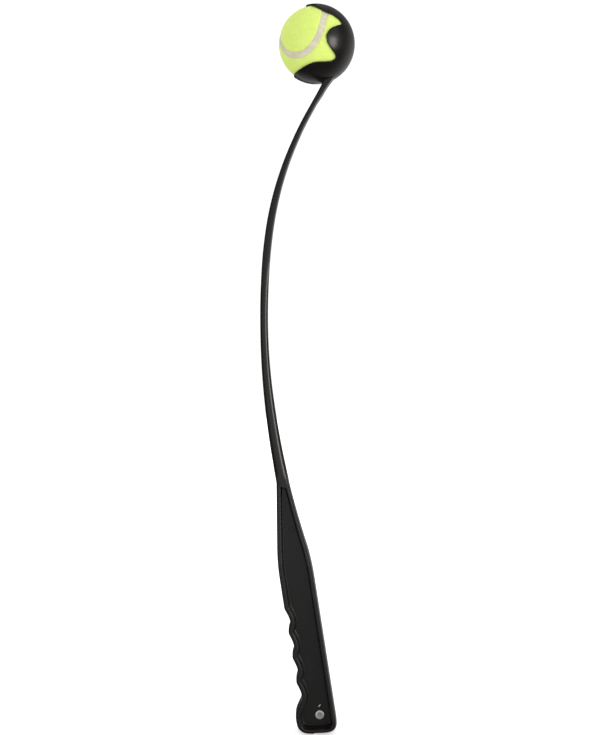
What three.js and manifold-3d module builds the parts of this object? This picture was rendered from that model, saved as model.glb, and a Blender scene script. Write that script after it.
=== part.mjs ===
// Tennis ball launcher: a one-piece moulded throwing stick with a four-lipped cup, a rivet through its
// butt, and the tennis ball seated in the cup.
// Millimetres, +Z up. The launcher stands upright with its butt down. Its mid-plane is Y = 0, the ball
// leaves the cup towards -X, and the origin is the middle of the hand's grip.

import * as THREE from "three";
import { mergeVertices } from "three/addons/utils/BufferGeometryUtils.js";
import Module from "manifold-3d";

const wasm = await Module();
wasm.setup();

// Tennis ball
const ballDiameter = 65;
const feltThickness = 3;
const coreWall = 3.2;
const seamStripWidth = 5.4;
const seamStripDrop = 0.4; // how far the cement lies below the felt's surface
const bondGap = 0.3; // drawn between pieces that are bonded or moulded together
const seamLobeShare = 0.25; // of the ball's radius: how strongly the seam swings to each side
const seamTurnAngle = THREE.MathUtils.degToRad(-76.4); // how the seam happens to lie: turned about Z last,
const seamTiltAngle = THREE.MathUtils.degToRad(-27.1); // tilted about Y before that,
const seamRollAngle = THREE.MathUtils.degToRad(-15.7); // and rolled about X first

// Cup
const reachToBall = 541.8; // from the middle of the grip up to the ball's centre
const ballOffset = 4.8; // how far the ball's centre lies behind the grip's middle
const cupWall = 1.4;
const ballClearance = 0.3; // running clearance between the felt and the cup
const releaseAngle = THREE.MathUtils.degToRad(9.8); // how far the cup's mouth looks upwards
const neckReach = 7.3; // from the bowl's outside to where the neck becomes the shaft
const neckLeanAngle = THREE.MathUtils.degToRad(6.4); // the neck's place round the bowl, from straight below
const neckAngle = THREE.MathUtils.degToRad(61); // the neck's own direction above the horizontal
const neckRootThickness = 5;
const neckRootDepth = 12.5;
const neckFlareThickness = 8.3;
const neckFlareDepth = 14;

// Shaft
const shaftBow = 34; // the largest sideways bow from a straight line
const shaftMidThickness = 6.7;
const shaftMidDepth = 13;
const neckThickness = 3.9;
const neckDepth = 12;

// Handle
const handleTopHeight = 156.5; // above the middle of the grip
const handleTopOffset = 24.3; // how far the handle's top lies in front of the grip's middle
const handleTopWidth = 11.6;
const handleTopDepth = 15;
const handleDepth = 26;
const webThickness = 4;
const rimWidth = 4.8;
const panelFillet = 0.8; // between the sunk panel and the rim round it
const edgeRound = 1.9; // how far the sides curve in towards the faces
const edgeRoundDepth = 5; // how far down the sides that curve begins
const gripAngle = THREE.MathUtils.degToRad(8.9);
const palmOffset = 14.85; // from the grip's axis back to the palm's edge
const fingerOffset = 15; // from the grip's axis forward to the ridges between the fingers
const shoulderOffset = 15.45; // from the grip's axis forward to the edge above the fingers
const shoulderRise = 86.5; // from the middle of the grip up to where the handle begins to narrow
const shoulderRound = 14;
const grooveDepth = 2.8;
const groovePitch = 21.7;
const grooveCount = 4;
const firstGrooveRise = 37.6; // along the grip, from its middle up to the first groove
const grooveRun = 13; // the slope that leads into the first groove
const palmHollow = 0.6; // how far the palm's edge dips between the shoulder and the handle's top
const buttDrop = 60.6; // from the middle of the grip straight down to the butt's end
const buttBulge = 5.3; // how far the butt swells past the ridges
const bulgeRise = 14.4; // from the butt's end up to the fullest place of the bulge
const fingerCornerRound = 8;
const palmCornerRound = 11;
const buttDome = 1.6;
const buttLowSide = 8.4; // from the grip's axis towards the fingers, to where the butt hangs lowest

// Rivet
const rivetShank = 4.8;
const rivetHead = 7.8;
const rivetHeadThickness = 1.1;
const rivetDish = 5.2; // diameter of the hollow in the head
const rivetDishDepth = 0.2;
const rivetTail = 6.6;
const rivetTailThickness = 0.9;
const rivetHeight = 12.6; // above the butt's end
const rivetOffset = 0.7; // from the grip's axis towards the palm
const washerDiameter = 9.4;
const washerThickness = 0.8;

// Every cut runs past the piece it cuts by this much.
const cutOverrun = 2;
// Points closer than this are one point.
const mergeDistance = 1e-4;

// Counts
const rimColumns = 56;
const cupRows = 13;
const neckSeatSegments = 48;
const ribCount = 36;
const ribSteps = 9;
const seamSteps = 88;
const shaftRings = 30;
const bladePoints = 16;
const rivetSegments = 24;
const coreSegments = 36;
const coreArcSteps = 8;
const edgeRoundSteps = 3;
const curveSteps = 5;
const grooveInSteps = 5;
const grooveOutSteps = 4;
const bulgeSteps = 7;

// Shares and angles
const ridgePlaceShare = 0.41; // of a groove's pitch, from one groove down to the next ridge
const ribEaseShare = 0.35; // how much closer a felt panel's arcs lie near its two ends
const sharpestMitreShare = 0.5; // keeps an offset corner from running far out
// Where the blade stops thinning above the handle, and where it thins again, in shares of its length.
const bladeThinFromShare = -0.12;
const bladeThinToShare = 0.41;
const bladeNeckFromShare = 0.55;
// The blade's section is nearly oval low down and squarer near the neck: where it changes, in shares of
// its length, and the powers that shape it.
const squareFromShare = 0.5;
const squareToShare = 0.85;
const ovalPowerShare = 0.78;
const squarePowerShare = 0.5;
// The bow at even steps from the handle to the neck, in shares of the largest bow.
const bowShares = [0, 0.29, 0.54, 0.74, 0.88, 0.965, 0.995, 0.94, 0.76, 0.445, 0];
// The cup's rim from the top lip's tip round to a side finger's tip. Each pair is the angle round the
// mouth's axis and the angle away from that axis, in degrees. The other quarters mirror it.
const rimAngles = [
  [0, 64.5],
  [12, 66],
  [24, 71],
  [34, 77.5],
  [42, 85],
  [47.5, 94],
  [49.7, 104],
  [50.6, 115],
  [52, 122],
  [56, 126],
  [62, 124],
  [70, 117],
  [80, 108.5],
  [90, 105],
];

// Sizes that follow
const ballRadius = ballDiameter / 2;
const feltInnerRadius = ballRadius - feltThickness;
const coreRadius = feltInnerRadius - bondGap;
const cavityRadius = ballRadius + ballClearance;
const cupRadius = cavityRadius + cupWall;
const seamHalf = seamStripWidth / 2;
const ballCentre = new THREE.Vector3(ballOffset, 0, reachToBall);
const releaseAxis = new THREE.Vector3(-Math.cos(releaseAngle), 0, Math.sin(releaseAngle));
const neckDirection = new THREE.Vector3(Math.cos(neckAngle), 0, Math.sin(neckAngle));
const neckPoint = new THREE.Vector3(Math.sin(neckLeanAngle), 0, -Math.cos(neckLeanAngle))
  .multiplyScalar(cupRadius + neckReach)
  .add(ballCentre);

// Materials
const blackPlastic = new THREE.MeshStandardMaterial({ color: 0x1c1b1a, roughness: 0.42, metalness: 0 });
const clawPlastic = new THREE.MeshStandardMaterial({ color: 0x1f1e1d, roughness: 0.4, metalness: 0 });
const rivetMetal = new THREE.MeshStandardMaterial({ color: 0xc9c9c6, roughness: 0.3, metalness: 1 });
const ballFelt = new THREE.MeshStandardMaterial({ color: 0xcfe66a, roughness: 0.95, metalness: 0 });
const seamCement = new THREE.MeshStandardMaterial({ color: 0xd8d2c6, roughness: 0.8, metalness: 0 });
const coreRubber = new THREE.MeshStandardMaterial({ color: 0x4a4440, roughness: 0.85, metalness: 0 });

// Solids and meshes

function bare(geometry) {
  geometry.deleteAttribute("normal");
  geometry.deleteAttribute("uv");
  return mergeVertices(geometry, mergeDistance);
}

function solidOf(geometry) {
  const merged = bare(geometry);
  return new wasm.Manifold(
    new wasm.Mesh({
      numProp: 3,
      vertProperties: merged.attributes.position.array,
      triVerts: new Uint32Array(merged.index.array),
    }),
  );
}

function geometryOf(solid) {
  const mesh = solid.getMesh();
  const points = new Float32Array(mesh.numVert * 3);
  for (let i = 0; i < mesh.numVert; i++) {
    points.set(mesh.vertProperties.subarray(i * mesh.numProp, i * mesh.numProp + 3), i * 3);
  }
  const geometry = new THREE.BufferGeometry();
  geometry.setAttribute("position", new THREE.BufferAttribute(points, 3));
  geometry.setIndex(new THREE.BufferAttribute(mesh.triVerts, 1));
  return geometry;
}

function namedMesh(name, solid, material) {
  const geometry = geometryOf(solid);
  geometry.computeVertexNormals();
  const mesh = new THREE.Mesh(geometry, material);
  mesh.name = name;
  return mesh;
}

// The triangles that join each row of points to the next. Wrapping rows close on themselves.
function facesBetween(rows, wrap) {
  const faces = [];
  const width = rows[0].length;
  const columns = wrap ? width : width - 1;
  for (let r = 0; r + 1 < rows.length; r++) {
    for (let c = 0; c < columns; c++) {
      const next = (c + 1) % width;
      faces.push([rows[r][c], rows[r][next], rows[r + 1][next]]);
      faces.push([rows[r][c], rows[r + 1][next], rows[r + 1][c]]);
    }
  }
  return faces;
}

function geometryOfFaces(faces) {
  const solidFaces = faces.filter(([a, b, c]) => a !== b && b !== c && c !== a);
  const points = solidFaces.flat().flatMap((p) => [p.x, p.y, p.z]);
  const geometry = new THREE.BufferGeometry();
  geometry.setAttribute("position", new THREE.BufferAttribute(new Float32Array(points), 3));
  return bare(geometry);
}

// Cup: a bowl round the ball with two wide lips and two side fingers.

// The rim over one whole turn, mirrored from the quarter in rimAngles.
function rimTurn() {
  const line = new THREE.SplineCurve(rimAngles.map(([round, away]) => new THREE.Vector2(round, away)));
  const quarter = rimAngles[rimAngles.length - 1][0];
  const steps = rimColumns / 4;
  const points = line.getSpacedPoints(steps);
  const turn = [];
  for (let i = 0; i < rimColumns; i++) {
    const part = Math.floor(i / steps);
    const inside = i % steps;
    const point = part % 2 ? points[steps - inside] : points[inside];
    const round = part % 2 ? quarter * (part + 1) - point.x : quarter * part + point.x;
    turn.push({
      round: THREE.MathUtils.degToRad(round),
      away: THREE.MathUtils.degToRad(point.y),
    });
  }
  return turn;
}

// A point of the cup about the ball's centre, before the mouth is turned to face its way.
function cupPoint(radius, round, away) {
  return new THREE.Vector3(
    radius * Math.sin(away) * Math.cos(round),
    radius * Math.sin(away) * Math.sin(round),
    radius * Math.cos(away),
  );
}

function cupSurface(radius) {
  const rim = rimTurn();
  const pole = cupPoint(radius, 0, Math.PI);
  const rows = [rim.map(() => pole)];
  for (let r = 1; r <= cupRows; r++) {
    const share = r / cupRows;
    rows.push(
      rim.map(({ round, away }, column) => {
        const even = (2 * Math.PI * column) / rimColumns;
        const blend = share * share;
        const angle = even + blend * (round - even);
        return cupPoint(radius, angle, Math.PI + share * (away - Math.PI));
      }),
    );
  }
  return rows;
}

// The mouth's axis is local +Z, the top lip lies towards local +X.
const mouthFrame = new THREE.Matrix4().makeBasis(
  new THREE.Vector3(Math.sin(releaseAngle), 0, Math.cos(releaseAngle)),
  new THREE.Vector3(0, 1, 0),
  releaseAxis,
);
mouthFrame.setPosition(ballCentre);

function cupShell() {
  const outer = cupSurface(cupRadius);
  const inner = cupSurface(cavityRadius);
  const rim = [outer[outer.length - 1], inner[inner.length - 1]];
  const faces = [
    ...facesBetween(outer, true),
    ...facesBetween(rim, true),
    ...facesBetween(inner.slice().reverse(), true),
  ];
  const geometry = geometryOfFaces(faces);
  geometry.applyMatrix4(mouthFrame);
  return solidOf(geometry);
}

// One ring of the flat-oval blade across the given direction. A lower power makes it squarer.
function bladeRing(centre, direction, thickness, depth, power = squarePowerShare) {
  const across = new THREE.Vector3(direction.z, 0, -direction.x).normalize();
  const points = [];
  for (let i = 0; i < bladePoints; i++) {
    const angle = (2 * Math.PI * (i + 0.5)) / bladePoints;
    const side = Math.sign(Math.cos(angle)) * Math.abs(Math.cos(angle)) ** power;
    const face = Math.sign(Math.sin(angle)) * Math.abs(Math.sin(angle)) ** power;
    points.push(
      centre
        .clone()
        .addScaledVector(across, (side * thickness) / 2)
        .add(new THREE.Vector3(0, (face * depth) / 2, 0)),
    );
  }
  return points;
}

function loft(rings) {
  const first = rings[0];
  const last = rings[rings.length - 1];
  const cap = (ring, flip) => {
    const middle = ring.reduce((sum, p) => sum.add(p), new THREE.Vector3()).divideScalar(ring.length);
    return ring.map((p, i) => {
      const next = ring[(i + 1) % ring.length];
      return flip ? [middle, next, p] : [middle, p, next];
    });
  };
  const faces = [...facesBetween(rings, true), ...cap(first, true), ...cap(last, false)];
  return solidOf(geometryOfFaces(faces));
}

function neckSolid() {
  const place = (distance) => neckPoint.clone().addScaledVector(neckDirection, distance);
  return loft([
    bladeRing(neckPoint, neckDirection, neckThickness, neckDepth),
    bladeRing(place(neckReach), neckDirection, neckRootThickness, neckRootDepth),
    bladeRing(place(2 * neckReach), neckDirection, neckFlareThickness, neckFlareDepth),
  ]);
}

// The neck ends in the middle of the bowl's wall.
function neckSeat() {
  const seat = new THREE.SphereGeometry(cavityRadius + cupWall / 2, neckSeatSegments, neckSeatSegments / 2);
  seat.translate(ballCentre.x, ballCentre.y, ballCentre.z);
  return solidOf(seat);
}

// Half of space on the mouth's side or the bowl's side of the ball's widest circle.
function mouthHalf(side) {
  const size = 4 * cupRadius;
  const box = new THREE.BoxGeometry(size, size, size);
  box.translate(0, 0, side * (size / 2 + bondGap / 2));
  box.applyMatrix4(mouthFrame);
  return solidOf(box);
}

function makeCupPieces() {
  const shell = cupShell();
  const bowl = shell.intersect(mouthHalf(-1)).add(neckSolid().subtract(neckSeat()));
  const claws = shell.intersect(mouthHalf(1)).decompose();
  const height = (solid) => solid.boundingBox().max[2];
  claws.sort((a, b) => height(b) - height(a));
  return { bowl, topClaw: claws[0], bottomClaw: claws[1] };
}

// Shaft: a curved flat-oval blade, thinnest at the neck.

const shaftFoot = new THREE.Vector3(-handleTopOffset, 0, handleTopHeight + bondGap);

function shaftLine() {
  const end = neckPoint.clone().addScaledVector(neckDirection, -bondGap);
  const chord = end.clone().sub(shaftFoot);
  const aside = new THREE.Vector3(-1, 0, 0);
  const points = bowShares.map((bow, i) =>
    shaftFoot
      .clone()
      .addScaledVector(chord, i / (bowShares.length - 1))
      .addScaledVector(aside, bow * shaftBow),
  );
  return new THREE.CatmullRomCurve3(points, false, "centripetal");
}

function shaftSolid() {
  const line = shaftLine();
  const rings = [];
  for (let i = 0; i <= shaftRings; i++) {
    const share = i / shaftRings;
    const point = line.getPointAt(share);
    const tangent = line.getTangentAt(share);
    if (i === 0) tangent.set(0, 0, 1);
    if (i === shaftRings) tangent.copy(neckDirection);
    rings.push(bladeRing(point, tangent, bladeThickness(share), bladeDepth(share), bladePower(share)));
  }
  return loft(rings);
}

// The blade thins from the handle to its middle, keeps its size, and thins again towards the neck.
function bladeThickness(share) {
  const lower = THREE.MathUtils.smoothstep(share, bladeThinFromShare, bladeThinToShare);
  const upper = THREE.MathUtils.smoothstep(share, bladeNeckFromShare, 1);
  const body = THREE.MathUtils.lerp(handleTopWidth, shaftMidThickness, lower);
  return THREE.MathUtils.lerp(body, neckThickness, upper);
}

function bladeDepth(share) {
  const lower = THREE.MathUtils.smoothstep(share, 0, bladeThinToShare);
  const upper = THREE.MathUtils.smoothstep(share, bladeNeckFromShare, 1);
  const body = THREE.MathUtils.lerp(handleTopDepth, shaftMidDepth, lower);
  return THREE.MathUtils.lerp(body, neckDepth, upper);
}

function bladePower(share) {
  const upper = THREE.MathUtils.smoothstep(share, squareFromShare, squareToShare);
  return THREE.MathUtils.lerp(ovalPowerShare, squarePowerShare, upper);
}

// Handle: the grip with finger grooves, and a recessed panel inside raised rims on both faces.

// A point given along the grip's axis (down) and across it (towards the palm).
function gripPoint(down, across) {
  return new THREE.Vector2(
    across * Math.cos(gripAngle) + down * Math.sin(gripAngle),
    across * Math.sin(gripAngle) - down * Math.cos(gripAngle),
  );
}

// A point given by its height and by how far it lies across the grip.
function gripPointAt(height, across) {
  return new THREE.Vector2((across - height * Math.sin(gripAngle)) / Math.cos(gripAngle), height);
}

// Half a cosine wave between two places on the finger edge.
function swell(from, to, steps) {
  const points = [];
  for (let i = 1; i <= steps; i++) {
    const share = i / steps;
    const ease = (1 - Math.cos(Math.PI * share)) / 2;
    points.push(gripPoint(from[0] + share * (to[0] - from[0]), from[1] + ease * (to[1] - from[1])));
  }
  return points;
}

function fingerEdge() {
  const ridge = -fingerOffset;
  const groove = grooveDepth - fingerOffset;
  let here = [-firstGrooveRise - grooveRun, -shoulderOffset];
  const points = [gripPoint(...here)];
  const go = (next, steps) => {
    points.push(...swell(here, next, steps));
    here = next;
  };
  for (let i = 0; i < grooveCount; i++) {
    const place = i * groovePitch - firstGrooveRise;
    go([place, groove], grooveInSteps);
    if (i + 1 < grooveCount) go([place + ridgePlaceShare * groovePitch, ridge], grooveOutSteps);
  }
  go([buttDrop - bulgeRise, ridge - buttBulge], bulgeSteps);
  return points;
}

function handleOutline() {
  const fingerShoulder = gripPointAt(shoulderRise, -shoulderOffset);
  const palmShoulder = gripPointAt(shoulderRise, palmOffset);
  const fingerTop = new THREE.Vector2(-handleTopOffset - handleTopWidth / 2, handleTopHeight);
  const palmTop = new THREE.Vector2(-handleTopOffset + handleTopWidth / 2, handleTopHeight);
  const fingers = fingerEdge();
  const bulge = fingers[fingers.length - 1];
  const fingerCorner = gripPointAt(-buttDrop, -fingerOffset - buttBulge);
  const palmCorner = gripPointAt(-buttDrop, palmOffset);
  const buttMiddle = gripPointAt(-buttDrop - buttDome, -buttLowSide);
  const towards = (from, to, distance) => to.clone().sub(from).setLength(distance).add(from);

  const path = new THREE.Path();
  const begin = towards(fingerShoulder, fingerTop, shoulderRound);
  path.moveTo(fingerTop.x, fingerTop.y);
  path.lineTo(begin.x, begin.y);
  const fingerStart = towards(fingerShoulder, fingers[0], shoulderRound);
  path.quadraticCurveTo(fingerShoulder.x, fingerShoulder.y, fingerStart.x, fingerStart.y);
  for (const p of fingers) path.lineTo(p.x, p.y);
  const cornerIn = towards(fingerCorner, bulge, fingerCornerRound);
  const cornerOut = towards(fingerCorner, buttMiddle, fingerCornerRound);
  path.lineTo(cornerIn.x, cornerIn.y);
  path.quadraticCurveTo(fingerCorner.x, fingerCorner.y, cornerOut.x, cornerOut.y);
  const palmIn = towards(palmCorner, buttMiddle, palmCornerRound);
  path.quadraticCurveTo(buttMiddle.x, buttMiddle.y, palmIn.x, palmIn.y);
  const palmOut = towards(palmCorner, palmShoulder, palmCornerRound);
  path.quadraticCurveTo(palmCorner.x, palmCorner.y, palmOut.x, palmOut.y);
  const shoulderIn = towards(palmShoulder, palmCorner, shoulderRound);
  const shoulderOut = towards(palmShoulder, palmTop, shoulderRound);
  path.lineTo(shoulderIn.x, shoulderIn.y);
  path.quadraticCurveTo(palmShoulder.x, palmShoulder.y, shoulderOut.x, shoulderOut.y);
  const hollow = shoulderOut.clone().add(palmTop).divideScalar(2);
  path.quadraticCurveTo(hollow.x - 2 * palmHollow, hollow.y, palmTop.x, palmTop.y);
  return path.getPoints(curveSteps);
}

// The outline drawn in by a distance, square to itself.
function drawnIn(points, distance) {
  const count = points.length;
  return points.map((point, i) => {
    const before = points[(i + count - 1) % count];
    const after = points[(i + 1) % count];
    const one = point.clone().sub(before).normalize();
    const two = after.clone().sub(point).normalize();
    const bisector = new THREE.Vector2(-(one.y + two.y), one.x + two.x).normalize();
    const mitreShare = Math.max(bisector.dot(new THREE.Vector2(-two.y, two.x)), sharpestMitreShare);
    return point.clone().addScaledVector(bisector, distance / mitreShare);
  });
}

// Extrudes an outline drawn in X and Z along Y.
function slab(points, fromY, toY, round, roundDepth) {
  const shape = new THREE.Shape(points);
  const geometry = new THREE.ExtrudeGeometry(shape, {
    depth: toY - fromY - 2 * roundDepth,
    bevelThickness: roundDepth,
    bevelSize: round,
    bevelOffset: -round,
    bevelSegments: edgeRoundSteps,
    curveSegments: 1,
  });
  geometry.rotateX(Math.PI / 2);
  geometry.translate(0, toY - roundDepth, 0);
  return solidOf(geometry);
}

// What the handle keeps: its full depth up to the shoulder, and a taper from there to its top.
function handleTaper() {
  const wide = handleDepth / 2 + cutOverrun;
  const full = handleDepth / 2;
  const narrow = handleTopDepth / 2;
  const shape = new THREE.Shape([
    new THREE.Vector2(-wide, -buttDrop - wide),
    new THREE.Vector2(wide, -buttDrop - wide),
    new THREE.Vector2(wide, shoulderRise - cutOverrun),
    new THREE.Vector2(full, shoulderRise),
    new THREE.Vector2(narrow, handleTopHeight),
    new THREE.Vector2(-narrow, handleTopHeight),
    new THREE.Vector2(-full, shoulderRise),
    new THREE.Vector2(-wide, shoulderRise - cutOverrun),
  ]);
  const length = 4 * (palmOffset + handleTopOffset);
  const geometry = new THREE.ExtrudeGeometry(shape, { depth: length, bevelEnabled: false });
  geometry.translate(0, 0, -length / 2);
  geometry.rotateX(Math.PI / 2);
  geometry.rotateZ(Math.PI / 2);
  return solidOf(geometry);
}

function rivetPlace() {
  const place = gripPointAt(rivetHeight - buttDrop, rivetOffset);
  return new THREE.Vector3(place.x, 0, place.y);
}

// A turned shape about the rivet's axis, from profile points given as radius and depth along +Y.
function rivetTurning(profile) {
  const points = profile.map(([radius, y]) => new THREE.Vector2(radius, y));
  const geometry = new THREE.LatheGeometry([...points, points[0]], rivetSegments);
  const place = rivetPlace();
  geometry.translate(place.x, place.y, place.z);
  return solidOf(geometry);
}

function handleSolid() {
  const outline = handleOutline();
  const half = handleDepth / 2;
  const web = webThickness / 2;
  const panel = drawnIn(outline, rimWidth);
  const shankHole = rivetShank / 2 + bondGap;
  const hole = rivetTurning([
    [0, -half - cutOverrun],
    [shankHole, -half - cutOverrun],
    [shankHole, half + cutOverrun],
    [0, half + cutOverrun],
  ]);
  return slab(outline, -half, half, edgeRound, edgeRoundDepth)
    .intersect(handleTaper())
    .subtract(slab(panel, -half - cutOverrun, -web, panelFillet, panelFillet))
    .subtract(slab(panel, web, half + cutOverrun, panelFillet, panelFillet))
    .subtract(hole);
}

// A dished head in front of the web, a shank through it, and a tail set over the washer behind.
function rivetSolid() {
  const shank = rivetShank / 2;
  const head = rivetHead / 2;
  const tail = rivetTail / 2;
  const front = -webThickness / 2 - bondGap;
  const face = front - rivetHeadThickness;
  const back = webThickness / 2 + bondGap + washerThickness + bondGap;
  return rivetTurning([
    [0, face + rivetDishDepth],
    [rivetDish / 2, face + rivetDishDepth],
    [(rivetDish / 2 + head) / 2, face],
    [head, front - rivetHeadThickness / 2],
    [head, front],
    [shank, front],
    [shank, back],
    [tail, back],
    [tail, back + rivetTailThickness / 2],
    [shank, back + rivetTailThickness],
    [0, back + rivetTailThickness],
  ]);
}

function washerSolid() {
  const inner = rivetShank / 2 + bondGap;
  const near = webThickness / 2 + bondGap;
  return rivetTurning([
    [inner, near],
    [washerDiameter / 2, near],
    [washerDiameter / 2, near + washerThickness],
    [inner, near + washerThickness],
  ]);
}

// Ball: two rubber half shells, two dog-bone felt panels and the cement seam between the panels.

const ballFrame = new THREE.Matrix4()
  .makeRotationFromEuler(new THREE.Euler(seamRollAngle, seamTiltAngle, seamTurnAngle, "ZYX"))
  .setPosition(ballCentre);

// The seam is the closed curve (a cos t + b cos 3t, a sin t - b sin 3t, c sin 2t) on the ball's sphere,
// with a + b the radius and c twice the root of ab.
function seamDirection(t) {
  const b = seamLobeShare;
  const a = 1 - b;
  return new THREE.Vector3(
    a * Math.cos(t) + b * Math.cos(3 * t),
    a * Math.sin(t) - b * Math.sin(3 * t),
    2 * Math.sqrt(a * b) * Math.sin(2 * t),
  );
}

// A direction beside the seam, moved over the sphere by an angle.
function besideSeam(t, angle) {
  const here = seamDirection(t);
  const ahead = seamDirection(t + 1 / 1000).sub(here).normalize();
  const aside = new THREE.Vector3().crossVectors(here, ahead).normalize();
  return here.multiplyScalar(Math.cos(angle)).addScaledVector(aside, Math.sin(angle)).normalize();
}

function seamSolid() {
  const outer = ballRadius - seamStripDrop;
  const angle = (seamHalf - bondGap) / ballRadius;
  const rings = [];
  for (let i = 0; i <= seamSteps; i++) {
    const t = (2 * Math.PI * (i % seamSteps)) / seamSteps;
    const left = besideSeam(t, -angle);
    const middle = seamDirection(t).normalize();
    const right = besideSeam(t, angle);
    rings.push([
      left.clone().multiplyScalar(outer),
      left.clone().multiplyScalar(feltInnerRadius),
      right.clone().multiplyScalar(feltInnerRadius),
      right.clone().multiplyScalar(outer),
      middle.clone().multiplyScalar(outer),
    ]);
  }
  rings[seamSteps] = rings[0];
  return solidOf(geometryOfFaces(facesBetween(rings, true)).applyMatrix4(ballFrame));
}

// A panel is filled by arcs that join each place of its edge to the mirrored place.
function feltSolid(side) {
  const angle = (side * seamHalf) / ballRadius;
  const start = (-side * Math.PI) / 4;
  const outer = [];
  const inner = [];
  for (let i = 0; i <= ribCount; i++) {
    const ease = (1 - Math.cos((Math.PI * i) / ribCount)) / 2;
    const t = start + Math.PI * THREE.MathUtils.lerp(i / ribCount, ease, ribEaseShare);
    const mirrored = 2 * start - t;
    const one = besideSeam(side > 0 ? mirrored : t, angle);
    const two = besideSeam(side > 0 ? t : mirrored, angle);
    const arc = one.angleTo(two);
    const outerRow = [];
    const innerRow = [];
    for (let j = 0; j <= ribSteps; j++) {
      const share = j / ribSteps;
      const direction = i % ribCount === 0 ? one.clone() : slerp(one, two, arc, share);
      outerRow.push(direction.clone().multiplyScalar(ballRadius));
      innerRow.push(direction.clone().multiplyScalar(feltInnerRadius));
    }
    outer.push(outerRow);
    inner.push(innerRow);
  }
  const edge = (rows) => {
    const down = rows.map((row) => row[0]);
    const up = rows.map((row) => row[ribSteps]).reverse();
    return [...down, ...up.slice(1, -1)];
  };
  const faces = [
    ...facesBetween(outer, false),
    ...facesBetween(inner, false).map(([a, b, c]) => [a, c, b]),
    ...facesBetween([edge(outer), edge(inner)], true),
  ];
  return solidOf(geometryOfFaces(faces).applyMatrix4(ballFrame));
}

function slerp(one, two, arc, share) {
  return one
    .clone()
    .multiplyScalar(Math.sin((1 - share) * arc) / Math.sin(arc))
    .addScaledVector(two, Math.sin(share * arc) / Math.sin(arc));
}

function coreHalf(side) {
  const start = Math.asin(bondGap / 2 / coreRadius);
  const inner = coreRadius - coreWall;
  const innerStart = Math.asin(bondGap / 2 / inner);
  const arc = (radius, from, to) => {
    const points = [];
    for (let i = 0; i <= coreArcSteps; i++) {
      const angle = THREE.MathUtils.lerp(from, to, i / coreArcSteps);
      points.push(new THREE.Vector2(radius * Math.cos(angle), radius * Math.sin(angle)));
    }
    return points;
  };
  const profile = [...arc(coreRadius, start, Math.PI / 2), ...arc(inner, Math.PI / 2, innerStart)];
  profile[coreArcSteps].x = 0;
  profile[coreArcSteps + 1].x = 0;
  const geometry = new THREE.LatheGeometry([...profile, profile[0]], coreSegments);
  geometry.rotateZ(side > 0 ? -Math.PI / 2 : Math.PI / 2);
  geometry.translate(ballCentre.x, ballCentre.y, ballCentre.z);
  return solidOf(geometry);
}

// Assembly

const launcher = new THREE.Group();
const cupPieces = makeCupPieces();
launcher.add(namedMesh("handle", handleSolid(), blackPlastic));
launcher.add(namedMesh("shaft", shaftSolid(), blackPlastic));
launcher.add(namedMesh("cup", cupPieces.bowl, blackPlastic));
launcher.add(namedMesh("top_claw", cupPieces.topClaw, clawPlastic));
launcher.add(namedMesh("bottom_claw", cupPieces.bottomClaw, clawPlastic));
launcher.add(namedMesh("rivet", rivetSolid(), rivetMetal));
launcher.add(namedMesh("rivet_washer", washerSolid(), rivetMetal));

const ball = new THREE.Group();
ball.add(namedMesh("ball_core_front", coreHalf(-1), coreRubber));
ball.add(namedMesh("ball_core_back", coreHalf(1), coreRubber));
ball.add(namedMesh("felt_panel_a", feltSolid(1), ballFelt));
ball.add(namedMesh("felt_panel_b", feltSolid(-1), ballFelt));
ball.add(namedMesh("ball_seam", seamSolid(), seamCement));

const group = new THREE.Group();
group.add(launcher, ball);
export default group;
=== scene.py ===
# Tennis ball launcher: a throwing stick moulded in one piece, with a tennis ball seated in its cup.
# It stands upright with its butt down. The origin is the middle of the hand's grip, the stick's
# mid-plane is Y = 0, and the ball leaves the cup towards -X. Points are worked out in millimetres.

import bmesh
import bpy
import numpy as np
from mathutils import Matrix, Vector


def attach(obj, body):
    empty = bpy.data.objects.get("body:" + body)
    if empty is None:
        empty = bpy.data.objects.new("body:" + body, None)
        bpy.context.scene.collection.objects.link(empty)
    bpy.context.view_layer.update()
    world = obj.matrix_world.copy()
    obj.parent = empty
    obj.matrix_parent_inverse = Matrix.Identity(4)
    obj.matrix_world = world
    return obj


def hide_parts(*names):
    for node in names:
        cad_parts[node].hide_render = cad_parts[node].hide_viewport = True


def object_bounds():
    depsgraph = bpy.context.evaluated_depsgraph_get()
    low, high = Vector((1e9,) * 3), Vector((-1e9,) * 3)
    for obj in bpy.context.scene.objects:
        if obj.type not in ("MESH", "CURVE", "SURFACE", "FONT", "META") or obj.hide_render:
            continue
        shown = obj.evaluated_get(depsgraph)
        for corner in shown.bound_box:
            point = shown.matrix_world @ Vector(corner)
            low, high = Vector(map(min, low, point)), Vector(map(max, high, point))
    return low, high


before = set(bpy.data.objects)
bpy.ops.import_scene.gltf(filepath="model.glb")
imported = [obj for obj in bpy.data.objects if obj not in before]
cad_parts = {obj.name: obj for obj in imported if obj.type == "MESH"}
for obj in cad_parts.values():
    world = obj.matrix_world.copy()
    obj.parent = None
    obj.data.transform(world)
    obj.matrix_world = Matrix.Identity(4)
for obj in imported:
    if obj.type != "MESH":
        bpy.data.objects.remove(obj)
cad_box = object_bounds()

# Black plastic
# The stick is injection-moulded in black polypropylene from a finely textured tool. It has a soft
# shine, a trace of flow in the colour, hair scratches from the ground, and a little dust.

plastic_colours = (0.0062, 0.0056, 0.0052, 1), (0.0104, 0.0095, 0.0088, 1)
scratch_colour = (0.045, 0.043, 0.041, 1)
dust_colour = (0.11, 0.105, 0.095, 1)


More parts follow.
